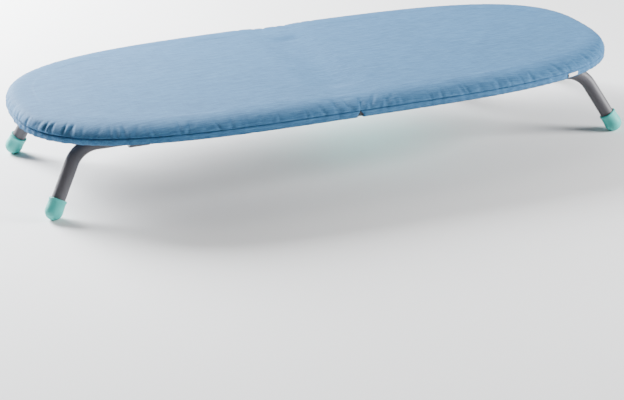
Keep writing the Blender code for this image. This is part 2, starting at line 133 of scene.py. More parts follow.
def moulded(name, colour, roughness, grain, speck=0.08, depth=0.00005, metallic=0.0):
    """Moulded or coated material: faint mottling of colour and gloss, and a fine grain."""
    made, nodes, links, principled = shader(name)
    broad = noise(nodes, links, 22, detail=4)
    fine = noise(nodes, links, grain, detail=2)
    tint = ramp(nodes, links, broad, [(0.3, scaled(colour, 1 - speck)), (0.7, scaled(colour, 1 + speck))])
    grained = ramp(nodes, links, fine, [(0.35, scaled(colour, 0.9)), (0.65, colour)])
    tint = mix(nodes, links, tint, grained, 0.35)
    links.new(tint, principled.inputs["Base Color"])
    gloss = nodes.new("ShaderNodeMapRange")
    gloss.inputs["To Min"].default_value = roughness - 0.06
    gloss.inputs["To Max"].default_value = roughness + 0.08
    links.new(fine, gloss.inputs["Value"])
    links.new(gloss.outputs["Result"], principled.inputs["Roughness"])
    principled.inputs["Metallic"].default_value = metallic
    links.new(bump(nodes, links, fine, 0.35, depth), principled.inputs["Normal"])
    return made


def heathered(name, colour, light, dark):
    """Cotton cloth with slubby yarns along the board and a fine cross weave."""
    made, nodes, links, principled = shader(name)
    slubs = noise(nodes, links, 1, (45, 900, 900), detail=3, rough=0.65)
    streaks = noise(nodes, links, 1, (48, 520, 520), detail=4, rough=0.7)
    cross = noise(nodes, links, 1, (900, 40, 260), detail=2, rough=0.6)
    blotch = noise(nodes, links, 9, (1, 2.2, 2.2), detail=4, rough=0.6)
    weave = noise(nodes, links, 2200, detail=1)
    tint = ramp(nodes, links, slubs, [(0.30, dark), (0.52, colour), (0.74, light)])
    thin = ramp(nodes, links, cross, [(0.32, scaled(colour, 0.75)), (0.7, scaled(colour, 1.3))])
    tint = mix(nodes, links, tint, thin, 0.38)
    patches = ramp(nodes, links, blotch, [(0.3, scaled(colour, 0.82)), (0.7, scaled(colour, 1.22))])
    tint = mix(nodes, links, tint, patches, 0.25)
    faded = ramp(nodes, links, streaks, [(0.34, scaled(dark, 1.2)), (0.5, colour), (0.66, light)])
    tint = mix(nodes, links, tint, faded, 0.30)
    links.new(tint, principled.inputs["Base Color"])
    principled.inputs["Roughness"].default_value = 0.85
    principled.inputs["Sheen Weight"].default_value = 0.05
    principled.inputs["Sheen Roughness"].default_value = 0.4
    principled.inputs["Sheen Tint"].default_value = (0.35, 0.55, 0.80, 1)
    creases = noise(nodes, links, 24, detail=3, rough=0.55)
    normal = bump(nodes, links, creases, 0.25, 0.003)
    normal = bump(nodes, links, slubs, 0.20, 0.0004, normal)
    normal = bump(nodes, links, weave, 0.25, 0.0002, normal)
    links.new(normal, principled.inputs["Normal"])
    return made


def woven(name, colour, along, rib=1400):
    """Flat webbing or tape: ribs across it and a broken twill in the yarns."""
    made, nodes, links, principled = shader(name)
    stretch = tuple(0.25 if axis == along else 1 for axis in range(3))
    yarns = noise(nodes, links, rib, stretch, detail=2)
    wear = noise(nodes, links, 60, detail=3)
    tint = ramp(nodes, links, yarns, [(0.35, scaled(colour, 0.65)), (0.65, scaled(colour, 1.35))])
    worn = ramp(nodes, links, wear, [(0.3, scaled(colour, 0.8)), (0.7, scaled(colour, 1.3))])
    tint = mix(nodes, links, tint, worn, 0.4)
    links.new(tint, principled.inputs["Base Color"])
    principled.inputs["Roughness"].default_value = 0.8
    principled.inputs["Sheen Weight"].default_value = 0.2
    links.new(bump(nodes, links, yarns, 0.6, 0.0004), principled.inputs["Normal"])
    return made


LOOKS = {
    "cover_fabric": heathered("cover_cloth", (0.030, 0.128, 0.265), (0.092, 0.255, 0.440),
                              (0.009, 0.050, 0.125)),
    "foam": woven("needled_foam", (0.62, 0.61, 0.57), 0, 500),
    "grey_plastic": moulded("tray_plastic", (0.085, 0.085, 0.098), 0.42, 1100),
    "clamp_plastic": moulded("clamp_moulding", (0.060, 0.060, 0.070), 0.38, 1100),
    "painted_tube": moulded("tube_coat", (0.080, 0.077, 0.088), 0.50, 1500, 0.05, 0.00003),
    "mint_rubber": moulded("cap_rubber", (0.055, 0.450, 0.410), 0.55, 1200, 0.05),
    "mint_plastic": moulded("sleeve_plastic", (0.060, 0.480, 0.455), 0.40, 1300, 0.04),
    "steel": moulded("zinc_steel", (0.72, 0.72, 0.75), 0.25, 700, 0.06, 0.00002, 1.0),
    "webbing": woven("strap_webbing", (0.028, 0.055, 0.110), 1),
    "label": woven("label_tape", (0.86, 0.86, 0.85), 0, 1800),
}


# ---------------------------------------------------------------- mesh helpers

def add_piece(name, bm, look, body=None, replaced=(), angle=40, merge=2e-6):
    """Makes a piece from bm with its material, and lets it ride on its body."""
    bmesh.ops.remove_doubles(bm, verts=bm.verts, dist=merge)
    bmesh.ops.recalc_face_normals(bm, faces=bm.faces)
    mesh = bpy.data.meshes.new(name)
    bm.to_mesh(mesh)
    bm.free()
    mesh.materials.append(LOOKS[look])
    mesh.shade_smooth()
    if angle < 180:
        mesh.set_sharp_from_angle(angle=math.radians(angle))
    obj = bpy.data.objects.new(name, mesh)
    bpy.context.scene.collection.objects.link(obj)
    if body:
        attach(obj, body)
    if replaced:
        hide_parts(*replaced)
    return obj


def bake(obj):
    """Turns what the modifiers make into the piece's own mesh."""
    bpy.context.view_layer.update()
    shown = obj.evaluated_get(bpy.context.evaluated_depsgraph_get())
    mesh = bpy.data.meshes.new_from_object(shown)
    obj.modifiers.clear()
    obj.data = mesh


def bevelled(obj, width, segments, limit):
    """Rounds the edges that turn by more than limit degrees."""
    made = obj.modifiers.new("soft_edges", "BEVEL")
    made.width, made.segments = width, segments
    made.limit_method, made.angle_limit = "ANGLE", math.radians(limit)
    bake(obj)


def thickened(obj, thickness):
    """Gives a surface its thickness, inwards."""
    made = obj.modifiers.new("thickness", "SOLIDIFY")
    made.thickness, made.offset = thickness, -1
    bake(obj)


def cut(obj, shapes):
    """Cuts the shapes out of obj, and removes them."""
    for i, shape in enumerate(shapes):
        bmesh.ops.recalc_face_normals(shape, faces=shape.faces)
        mesh = bpy.data.meshes.new("cutter")
        shape.to_mesh(mesh)
        shape.free()
        mesh.materials.append(obj.data.materials[0])
        cutter = bpy.data.objects.new(f"cutter_{i}", mesh)
        bpy.context.scene.collection.objects.link(cutter)
        made = obj.modifiers.new("cut", "BOOLEAN")
        made.operation, made.solver, made.object = "DIFFERENCE", "EXACT", cutter
        bake(obj)
        bpy.data.objects.remove(cutter)
    obj.data.shade_smooth()
    obj.data.set_sharp_from_angle(angle=math.radians(35))


def prism(points, low, high, up=None, bm=None):
    """An outline drawn out from low to high: along z, or as up places it."""
    up = up or (lambda a, b, h: (a, b, h))
    bm = bm or bmesh.new()
    bottom = [bm.verts.new(up(a, b, low)) for a, b in points]
    top = [bm.verts.new(up(a, b, high)) for a, b in points]
    bm.faces.new(bottom[::-1])
    bm.faces.new(top)
    for i in range(len(points)):
        j = (i + 1) % len(points)
        bm.faces.new((bottom[i], bottom[j], top[j], top[i]))
    return bm


def box(low, high, bm=None):
    (x0, y0, z0), (x1, y1, z1) = low, high
    return prism([(x0, y0), (x1, y0), (x1, y1), (x0, y1)], z0, z1, bm=bm)


def arc(centre, radius, start, end, steps):
    """Points round a centre, from a start angle to an end angle in degrees."""
    turns = [math.radians(start + (end - start) * i / steps) for i in range(steps + 1)]
    return [(centre[0] + radius * math.cos(t), centre[1] + radius * math.sin(t)) for t in turns]


def turned(profile, origin, direction, steps=40):
    """A profile of (radius, distance along) turned about a line."""
    direction = Vector(direction).normalized()
    across = direction.orthogonal().normalized()
    third = direction.cross(across)
    bm = bmesh.new()
    rings = []
    for radius, along in profile:
        centre = Vector(origin) + direction * along
        if radius == 0:
            rings.append([bm.verts.new(centre)])
            continue
        turns = [2 * math.pi * k / steps for k in range(steps)]
        spokes = [across * math.cos(t) + third * math.sin(t) for t in turns]
        rings.append([bm.verts.new(centre + spoke * radius) for spoke in spokes])
    for a, b in zip(rings, rings[1:]):
        for k in range(steps):
            j = (k + 1) % steps
            corners = [a[k % len(a)], a[j % len(a)], b[j % len(b)], b[k % len(b)]]
            bm.faces.new(list(dict.fromkeys(corners)))
    return bm


def lattice(bm, lines):
    """Faces between each line of vertices and the next."""
    for a, b in zip(lines, lines[1:]):
        for k in range(len(a) - 1):
            bm.faces.new((a[k], a[k + 1], b[k + 1], b[k]))


def pipe(bm, rings):
    """Faces between each closed ring of vertices and the next."""
    for a, b in zip(rings, rings[1:]):
        for k in range(len(a)):
            j = (k + 1) % len(a)
            bm.faces.new((a[k], a[j], b[j], b[k]))


def smoothstep(low, high, x):
    """0 below low, 1 above high, and an even curve between."""
    t = min(max((x - low) / (high - low), 0.0), 1.0)
    return t * t * (3 - 2 * t)


# ---------------------------------------------------------------- the cover

SLIT = 0.0006  # half the gap between the skirts at the fold line
SEAM_Z = 0.1044
ROLL = 0.034  # how far in from the outline the edge begins to roll over
# The near side's roll is soft, and the far side and the noses stand fuller
NEAR_FULLNESS, EXTRA_FULLNESS = 1.6, 3.6
CLOTH_T = 0.0006
CLOTH_STATIONS, CLOTH_ROWS, ROLL_ROWS = 300, 26, 20
# The hem's underside, and the height and distance in that tell its flat part from the skirt
HEM_Z, HEM_FACE_Z, HEM_TURN = 0.0953, 0.0956, 0.003
# The skirts part below the seam at the fold line: by how much, over which x and over which heights
NOTCH, NOTCH_X, NOTCH_Z = 0.0036, 0.012, (0.0985, 0.1042)
WAVE, NOSE_WAVE = 0.0005, 0.0008
PUCKER_REACH = 0.009
# No pucker is deeper than the pad's room under the cover, which grows inwards from the edge
EDGE_ROOM, ROOM_SLOPE = 0.0011, 0.13
# The top's cross lines run straight as far as this x, and crowd together past it
SPINE_STRAIGHT, SPINE_CROWD = 0.2, 0.45


def half_width(x, inset=0.0):
    """Half the width of the outline at x, or of a line inset from it."""
    share = min(abs(x) / (HALF_LENGTH - inset), 1.0)
    return (HALF_WIDTH - inset) * (1 - share**OUTLINE_P) ** (1 / OUTLINE_Q)


def stations(count):
    """x of the cross lines, from the left nose to the right one, close together at the fold and the noses."""
    quarter = [SLIT, 0.0014, 0.0026, 0.0040]
    quarter += [HALF_LENGTH * math.sin(math.pi / 2 * i / count) for i in range(3, count + 1)]
    return [-x for x in quarter[::-1]] + quarter


def edge_point(x, sign):
    """Outline point at x on one side, and its outward normal."""
    step = 1e-5
    if HALF_LENGTH - abs(x) < 2 * step:
        return Vector((x, 0, 0)), Vector((math.copysign(1, x), 0, 0))
    before, after = half_width(abs(x) - step), half_width(abs(x) + step)
    slope = (after - before) / (2 * step) * math.copysign(1, x)
    normal = Vector((-slope, sign, 0)).normalized()
    return Vector((x, sign * half_width(x), 0)), normal


def top_level(x, y):
    """Height of the cover's top: crowned, with a dip at the fold line except over the hinges."""
    over_hinge = smoothstep(0.100, 0.119, abs(y))
    dip = (BOARD_TOP - RELIEF_Z) * (1 - smoothstep(0, RELIEF_LENGTH, abs(x)))
    crease = 0.0002 * math.exp(-((x / 0.0035) ** 2)) * (1 - over_hinge)
    cap = 0.0008 * over_hinge * (1 - smoothstep(0.004, 0.020, abs(x)))
    crown = 0.0006 * (1 - smoothstep(0.0, 0.17, abs(y))) + 0.0024 * smoothstep(0.004, 0.050, abs(x))
    return BOARD_TOP - dip * (1 - over_hinge) * 0.4 - crease + crown + cap


# Creases at each end of the fold line: (x where it starts, turn in radians, reach, depth)
CREASES = [(-0.010, 1.95, 0.022, 0.0016), (0.014, 1.05, 0.026, 0.0017), (-0.026, 1.35, 0.018, 0.0012),
           (0.036, 0.85, 0.020, 0.0012), (-0.048, 1.2, 0.016, 0.0010), (0.058, 1.5, 0.015, 0.0010),
           (0.004, 1.45, 0.016, 0.0012)]
CREASE_WIDTH = 0.0024


def creasing(x, y):
    """Creases that fan out over the top from the ends of the fold line."""
    total = 0.0
    for start, turn, reach, depth in CREASES:
        along = Vector((math.copysign(math.cos(turn), start), math.sin(turn)))
        at = Vector((x - start, HALF_WIDTH - abs(y)))
        run = at.dot(along)
        off = at.x * along.y - at.y * along.x
        if -0.01 < run < reach * 1.6:
            fade = smoothstep(1.6 * reach, 0.1 * reach, run)
            total += depth * math.exp(-((off / CREASE_WIDTH) ** 2)) * fade
    return total


def gather_waves():
    """Uneven waves round the skirt of drawn-in cloth: (count round the rim, phase, share)."""
    rng = random.Random(11)
    return [(rng.randint(50, 190), rng.uniform(0, 6.3), rng.uniform(0.5, 1.0)) for _ in range(8)]


def puckers(rim):
    """Short folds just above the seam: (distance round the rim, half width, depth, slant)."""
    rng = random.Random(29)
    made, place = [], 0.0
    while place < rim:
        place += rng.uniform(0.004, 0.019)
        depth = 0.0005 + 0.0030 * rng.random() ** 2.2
        made.append((place, rng.uniform(0.0016, 0.0032), depth, rng.uniform(-0.5, 0.5)))
    return made


def pucker_depth(near, place, level):
    """How deep the folds draw the cloth in at a place on the rim, a level above or below the seam."""
    total = 0.0
    for middle, wide, depth, slant in near:
        total += depth * math.exp(-(((place - middle - slant * level) / wide) ** 2))
    return total


def gather(share, waves):
    """The waves' height at a share of the way round the rim, from -1 to 1."""
    total = sum(a * math.sin(2 * math.pi * count * share + phase) for count, phase, a in waves)
    return max(min(total / 3.0, 1.0), -1.0)


def rolled(inset, fullness=NEAR_FULLNESS):
    """Share of the way up from the seam to the top at a distance in from the outline, by a soft roll."""
    return math.sqrt(max(1 - max(1 - inset / ROLL, 0.0) ** fullness, 0.0))


def skirt_profile(fullness=NEAR_FULLNESS):
    """(distance in from the outline, height, share of the gathers), from the top's edge to the hem's end."""
    points = []
    for i in range(ROLL_ROWS + 1):
        out = i / ROLL_ROWS
        inset = ROLL * (1 - out) ** 1.5
        height = SEAM_Z + 0.0008 + (BOARD_TOP - SEAM_Z - 0.0008) * rolled(inset, fullness)
        points.append((inset - 0.0016 * out**6, height, 0.2 * out**3))
    seam = [(-0.0008, 0.0005, 0.25), (0.0013, 0.0001, 0.20), (0.0014, -0.0006, 0.20),
            (-0.0008, -0.0011, 0.30), (-0.0014, -0.0026, 0.45)]
    points += [(inset, SEAM_Z + above, share) for inset, above, share in seam]
    points += [(-0.0015, 0.1010, 0.55), (-0.0014, 0.0986, 0.60), (-0.0010, 0.0967, 0.60),
               (-0.0002, 0.0957, 0.60), (0.0014, HEM_Z, 0.60)]
    points += [(0.005 + 0.004 * i, HEM_Z, 0.0) for i in range(5)]
    points += [(0.0245, HEM_Z + 0.0001, 0.0), (0.0252, HEM_Z + 0.0006, 1.0)]
    return points


def rim_lengths(xs):
    """Distance along the outline from the left nose to each x, on each side."""
    lengths = {}
    for sign in (-1, 1):
        run, last = 0.0, None
        for x in xs:
            point, _ = edge_point(x, sign)
            run += (point - last).length if last else 0.0
            lengths[x, sign], last = run, point
    return lengths


def skirt_line(x, sign, lengths, rim, waves, folds):
    """Places down the cover at x on one side, from the edge of the top to the end of the hem."""
    point, normal = edge_point(x, sign)
    nose = smoothstep(0.20, 0.40, abs(x))
    wave = gather(-sign * lengths[x, sign] / rim, waves)
    round_rim = lengths[x, sign] if sign > 0 else rim - lengths[x, sign]
    near = [fold for fold in folds if abs(fold[0] - round_rim) < PUCKER_REACH]
    # Puckers are deepest at the noses and beside the fold line
    drawn = 0.6 + 0.4 * nose + 0.9 * math.exp(-((abs(x) / 0.05) ** 2))
    fullness = NEAR_FULLNESS + EXTRA_FULLNESS * smoothstep(-0.95, -0.2, normal.y)
    line = []
    for inset, height, share in skirt_profile(fullness):
        under = height < HEM_FACE_Z and inset > HEM_TURN
        out = -inset + share * wave * (WAVE + NOSE_WAVE * nose)
        z = height
        if height > SEAM_Z + 0.0004:
            across = abs(point.y) - inset
            above_seam = smoothstep(SEAM_Z, SEAM_Z + 0.003, height)
            z += (top_level(x, across) - BOARD_TOP) * smoothstep(SEAM_Z, BOARD_TOP, height)
            reach_up = 1 - smoothstep(0.45, 0.97, (height - SEAM_Z) / (BOARD_TOP - SEAM_Z))
            depth = drawn * reach_up * pucker_depth(near, round_rim, 0.5 * (height - SEAM_Z + inset))
            depth += creasing(x, across) * above_seam
            depth = min(depth, EDGE_ROOM + ROOM_SLOPE * max(inset, 0.0))
            out -= 0.6 * depth
            z -= 0.7 * depth * above_seam
        elif not under:
            out -= 0.30 * drawn * pucker_depth(near, round_rim, 0.0) * smoothstep(0.0960, SEAM_Z, height)
        if under:
            z -= max(wave, 0) * 0.0004 * (0.4 + nose)
            z -= 0.35 * pucker_depth(near, round_rim, 0.0)
        place = point + normal * out
        place.x = math.copysign(max(abs(place.x), SLIT), x)
        notch = (1 - smoothstep(SLIT, NOTCH_X, abs(x))) * (1 - smoothstep(*NOTCH_Z, height)) * NOTCH
        place.x += math.copysign(notch, x)
        place.z = z
        line.append(place)
    return line


def top_line(x, ring):
    """Places over the top at x, from the spine out to the ring where the roll begins."""
    crowded = SPINE_STRAIGHT + (abs(x) - SPINE_STRAIGHT) * SPINE_CROWD
    spine = Vector((x if abs(x) < SPINE_STRAIGHT else math.copysign(crowded, x), 0, 0))
    line = []
    for k in range(CLOTH_ROWS):
        share = 1 - (1 - k / CLOTH_ROWS) ** 1.35
        flat = spine.lerp(Vector((ring.x, ring.y, 0)), share)
        ripple = 0.0003 * math.sin(31 * flat.x + 9 * flat.y)
        line.append(Vector((flat.x, flat.y, top_level(flat.x, flat.y) - creasing(flat.x, flat.y) + ripple)))
    return line


def add_cover():
    """One sheet over both halves, slit below the seam at the fold line."""
    xs = stations(CLOTH_STATIONS)
    lengths = rim_lengths(xs)
    rim = 2 * lengths[xs[-1], 1]
    waves, folds = gather_waves(), puckers(rim)
    bm = bmesh.new()
    columns = []
    for x in xs:
        sides = {}
        for sign in (-1, 1):
            line = skirt_line(x, sign, lengths, rim, waves, folds)
            sides[sign] = top_line(x, line[0]) + line
        columns.append([bm.verts.new(p) for p in sides[-1][:0:-1] + sides[1]])
    slit_rows = sum(height < SEAM_Z for _, height, _ in skirt_profile())
    for a, b in zip(columns, columns[1:]):
        at_fold = a[0].co.x < 0 < b[0].co.x
        for k in range(len(a) - 1):
            if at_fold and min(k, len(a) - 2 - k) < slit_rows:
                continue
            bm.faces.new((a[k], a[k + 1], b[k + 1], b[k]))
    cover = add_piece("cover_cloth", bm, "cover_fabric", angle=180, merge=1e-5)
    thickened(cover, CLOTH_T)
    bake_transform(cover)
    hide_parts("cover_right", "cover_left")


PAD_STATIONS, PAD_INSET, PAD_ROWS = 60, 0.0095, 24
# Room that the pads leave over the hinges' leaves and knuckles
LEAF_X, LEAF_Y = 0.032, (0.112, 0.160)
KNUCKLE_X, KNUCKLE_Y = 0.010, (0.118, 0.156)


def within(value, span):
    return span[0] < value < span[1]


def pad_levels(x, y, across):
    """Heights of the pad's base and top at x, y: it clears the hinge below and the rolled cover above."""
    over_leaf = x < LEAF_X and within(abs(y), LEAF_Y)
    base = BASE_TOP + (0.0021 if over_leaf else 0.0003)
    level = BOARD_TOP - 0.0019 - (BOARD_TOP - RELIEF_Z) * max(1 - x / RELIEF_LENGTH, 0)
    if x < KNUCKLE_X and within(abs(y), KNUCKLE_Y):
        level = min(level, BASE_TOP + 0.0022)
    edge = min(across - abs(y), HALF_LENGTH - PAD_INSET - x) + PAD_INSET
    slack = 0.0017 + 0.0026 * (1 - smoothstep(0.010, 0.034, edge))
    level = min(level, SEAM_Z + (BOARD_TOP - SEAM_Z) * rolled(edge) - slack)
    return base, max(level, base + 0.0004)


def add_pad(side, half):
    """The felt pad of one half, under the rolled cover and thinner towards the fold line."""
    bm = bmesh.new()
    lows, highs = [], []
    for station in stations(PAD_STATIONS):
        if station < 0:
            continue
        x = station * (HALF_LENGTH - PAD_INSET) / HALF_LENGTH
        across = half_width(x, PAD_INSET)
        low, high = [], []
        for k in range(-PAD_ROWS, PAD_ROWS + 1):
            y = across * math.sin(math.pi / 2 * k / PAD_ROWS)
            base, level = pad_levels(x, y, across)
            low.append(bm.verts.new((side * max(x, 0.0015), y, base)))
            high.append(bm.verts.new((side * max(x, 0.0015), y, level)))
        lows.append(low)
        highs.append(high)
    lattice(bm, lows)
    lattice(bm, highs)
    for a, b, c, d in zip(lows, lows[1:], highs, highs[1:]):
        for k in (0, -1):
            bm.faces.new((a[k], b[k], d[k], c[k]))
    for row in (0, -1):
        lattice(bm, [lows[row], highs[row]])
    pad = add_piece(f"pad_{half}_felt", bm, "foam", f"{half}_half", [f"pad_{half}"])


# ---------------------------------------------------------------- the trays

PANEL_BANDS = ((-0.0752, -0.0336), (-0.0246, 0.0246), (0.0336, 0.0752))
ROW_PITCH, FIRST_ROW, ROWS, GUTTER = 0.048, 0.037, 7, 0.0048
PANEL_Z = (0.0979, 0.0994)
HOLE_R, HOLE_SIDES, HOLE_COLUMNS, HOLE_ROWS = 0.0036, 16, 3, 2
FIRST_RIB, RIB_PITCH, RIB_PLACES, RIB_T, RIB_Z = 0.016, 0.016, 23, 0.0012, (0.1012, 0.1047)
RIB_INNER_Y, RIB_MARGIN, SHORTEST_RIB, CLAMP_ROOM = 0.0775, 0.0075, 0.004, 0.017


def perforated(bm, x_span, y_span):
    """A raised panel with a grid of round holes through it."""
    x0, x1 = x_span
    y0, y1 = y_span
    dx, dy = (x1 - x0) / HOLE_ROWS, (y1 - y0) / HOLE_COLUMNS
    for i in range(HOLE_ROWS):
        for j in range(HOLE_COLUMNS):
            cx, cy = x0 + dx * (i + 0.5), y0 + dy * (j + 0.5)
            rings = []
            for z in PANEL_Z:
                outer, inner = [], []
                for k in range(HOLE_SIDES):
                    turn = 2 * math.pi * k / HOLE_SIDES
                    c, s = math.cos(turn), math.sin(turn)
                    grow = 1 / max(abs(c), abs(s))
                    outer.append(bm.verts.new((cx + dx / 2 * c * grow, cy + dy / 2 * s * grow, z)))
                    inner.append(bm.verts.new((cx + HOLE_R * c, cy + HOLE_R * s, z)))
                rings.append((outer, inner))
            (o0, i0), (o1, i1) = rings
            for k in range(HOLE_SIDES):
                m = (k + 1) % HOLE_SIDES
                bm.faces.new((o0[k], o0[m], i0[m], i0[k]))
                bm.faces.new((o1[m], o1[k], i1[k], i1[m]))
                bm.faces.new((i0[k], i0[m], i1[m], i1[k]))
                middle = (o0[k].co + o0[m].co) / 2
                gaps = (middle.x - x0, middle.x - x1, middle.y - y0, middle.y - y1)
                if min(map(abs, gaps)) < 1e-6:
                    bm.faces.new((o0[m], o0[k], o1[k], o1[m]))


def add_panels(side, half):
    """Perforated panels in three bands along the tray."""
    bm = bmesh.new()
    for row in range(ROWS):
        x0 = FIRST_ROW + ROW_PITCH * row + GUTTER / 2
        x1 = x0 + ROW_PITCH - GUTTER
        for y_span in PANEL_BANDS:
            perforated(bm, sorted((side * x0, side * x1)), y_span)
    add_piece(f"tray_panels_{half}", bm, "grey_plastic", f"{half}_half")


def add_side_ribs(side, half):
    """Low ribs from the panels out to the tray's rim, in pairs and clear of the clamps."""
    bm = bmesh.new()
    for place in range(RIB_PLACES):
        x = FIRST_RIB + RIB_PITCH * place
        outer = half_width(x, RIB_MARGIN)
        between_pairs = place % 3 == 1
        at_clamp = any(abs(x - clamp_x) < CLAMP_ROOM for clamp_x in CLAMP_X)
        if between_pairs or at_clamp or outer <= RIB_INNER_Y + SHORTEST_RIB:
            continue
        x0, x1 = sorted((side * (x - RIB_T / 2), side * (x + RIB_T / 2)))
        for sign in (-1, 1):
            y0, y1 = sorted((sign * RIB_INNER_Y, sign * outer))
            box((x0, y0, RIB_Z[0]), (x1, y1, RIB_Z[1]), bm)
    add_piece(f"tray_side_ribs_{half}", bm, "grey_plastic", f"{half}_half")


# ---------------------------------------------------------------- the legs and clamps

TUBE_START_X, BEND_STEPS, TUBE_SIDES, TUBE_SHORT = 0.004, 24, 36, 0.0025
SCREW_HOLE_R, SCREW_HOLE_DEPTH, SCREW_OFFSETS = 0.0021, 0.006, (-0.0195, 0.0195)


def leg_run():
    """Length of a leg's straight end, from its bend to the centre of its cap's ball."""
    reach = (TUBE_Z - CAP_R + CAP_FLAT) / math.cos(SPLAY)
    return (reach - BEND_R * (1 - math.cos(LEG_ANGLE))) / math.sin(LEG_ANGLE)


def leg_point(side, sign, x, drop):
    """A place on the splayed plane of a leg, at x and a drop below the tube's straight run."""
    return Vector((side * x, sign * (TUBE_Y + drop * math.sin(SPLAY)), TUBE_Z - drop * math.cos(SPLAY)))


def leg_path(side, sign):
    """Centre line of a leg's tube: straight under the tray, one bend, and straight to the cap."""
    flat = [(TUBE_START_X, 0.0), (0.10, 0.0), (0.20, 0.0), (BEND_START_X, 0.0)]
    for i in range(1, BEND_STEPS + 1):
        turn = LEG_ANGLE * i / BEND_STEPS
        flat.append((BEND_START_X + BEND_R * math.sin(turn), BEND_R * (1 - math.cos(turn))))
    x, drop = flat[-1]
    run = leg_run() - TUBE_SHORT
    flat.append((x + run * math.cos(LEG_ANGLE), drop + run * math.sin(LEG_ANGLE)))
    return [leg_point(side, sign, *p) for p in flat]


def add_leg(side, sign, name):
    """A bent tube swept along the leg's path, with its foot cap."""
    path = leg_path(side, sign)
    normal = (path[1] - path[0]).cross(path[-1] - path[0]).normalized()
    turns = [2 * math.pi * k / TUBE_SIDES for k in range(TUBE_SIDES)]
    bm = bmesh.new()
    rings = []
    for i, point in enumerate(path):
        along = (path[min(i + 1, len(path) - 1)] - path[max(i - 1, 0)]).normalized()
        across = normal.cross(along)
        spokes = [across * math.cos(t) + normal * math.sin(t) for t in turns]
        rings.append([bm.verts.new(point + spoke * TUBE_R) for spoke in spokes])
    pipe(bm, rings)
    bm.faces.new(rings[0])
    bm.faces.new(rings[-1][::-1])
    add_piece(f"tube_{name}", bm, "painted_tube", f"leg_{name}", [f"leg_tube_{name}"])
    along = (path[-1] - path[-2]).normalized()
    add_foot_cap(name, path[-1] + along * TUBE_SHORT, along)


def add_foot_cap(name, ball, along):
    """A soft cap with a beaded mouth, pressed a little flat where it stands on the floor."""
    mouth = CAP_R - CAP_LENGTH
    bore = TUBE_R + 0.0002
    profile = [(bore, -0.004), (bore, mouth + 0.0008), (TUBE_R + 0.0010, mouth), (CAP_R - 0.0013, mouth),
               (CAP_R - 0.0004, mouth + 0.0006), (CAP_R - 0.0001, mouth + 0.0016),
               (CAP_R - 0.0001, mouth + 0.0026), (CAP_R - 0.0006, mouth + 0.0034),
               (CAP_R - 0.0006, mouth + 0.010), (CAP_R - 0.0002, -0.003), (CAP_R, 0.0)]
    profile += arc((0, 0), CAP_R, 9, 81, 8)
    profile.append((0, CAP_R))
    bm = turned(profile, ball, along)
    for vert in bm.verts:
        vert.co.z = max(vert.co.z, 0.0)
    add_piece(f"cap_{name}", bm, "mint_rubber", f"leg_{name}", [f"foot_cap_{name}"])


def add_clamp(side, sign, x, name, body):
    """A saddle over the tube with two flanges, each with a hole for its screw."""
    seat, foot = CLAMP_SEAT, FLANGE_REACH
    flange = seat - FLANGE_T
    inner_r = TUBE_R + 0.0003
    section = [(-foot, seat), (-foot, flange), (-CLAMP_R - 0.002, flange), (-CLAMP_R, flange - 0.003)]
    section += arc((0, TUBE_Z), CLAMP_R, 185, 355, 20)
    section += [(CLAMP_R, flange - 0.003), (CLAMP_R + 0.002, flange), (foot, flange), (foot, seat)]
    section += [(inner_r, seat), *arc((0, TUBE_Z), inner_r, 360, 180, 24), (-inner_r, seat)]
    section = [(y + sign * TUBE_Y, z) for y, z in section]
    x0, x1 = sorted((side * (x - CLAMP_LENGTH / 2), side * (x + CLAMP_LENGTH / 2)))
    bm = prism(section, x0, x1, lambda a, b, h: (h, a, b))
    clamp = add_piece(f"saddle_{name}", bm, "clamp_plastic", body, [f"clamp_{name}"])
    bevelled(clamp, 0.0008, 2, 50)
    hole = [(0, 0), (SCREW_HOLE_R, 0), (SCREW_HOLE_R, SCREW_HOLE_DEPTH), (0, SCREW_HOLE_DEPTH)]
    cut(clamp, [turned(hole, (side * x, sign * TUBE_Y + offset, flange - 0.002), (0, 0, 1), 20)
                for offset in SCREW_OFFSETS])


# ---------------------------------------------------------------- the sleeve, strap and label

# OVERCUT is how far a cutting shape goes past the face that it cuts
SLEEVE_BORE_R, OVERCUT, CORE_MARGIN = 0.0096, 0.002, 0.022
LIP_OUT, LIP_WIDE, LIP_HIGH, LIP_SIDES = 0.0012, 0.0013, 0.0010, 10
EDGE_ROUND = 0.009


def rounded(points, radius, steps=5):
    """The outline with its corners rounded where they turn sharply."""
    made = []
    for i, point in enumerate(points):
        before, here, after = Vector(points[i - 1]), Vector(point), Vector(points[(i + 1) % len(points)])
        a, b = (before - here), (after - here)
        if a.angle(b) > math.radians(150) or min(a.length, b.length) < radius * 1.2:
            made.append(tuple(here))
            continue
        start, end = here + a.normalized() * radius, here + b.normalized() * radius
        for k in range(steps + 1):
            t = k / steps
            made.append(tuple(start * (1 - t) ** 2 + here * 2 * t * (1 - t) + end * t**2))
    return made


def grip_outline(grow):
    """Long round outline of the hand grip, grown by a margin."""
    run = GRIP_HALF_LENGTH - GRIP_R
    ends = ((run, 0, 180), (-run, 180, 360))
    return [p for y, start, end in ends for p in arc((GRIP_X, y), GRIP_R + grow, start, end, 16)]


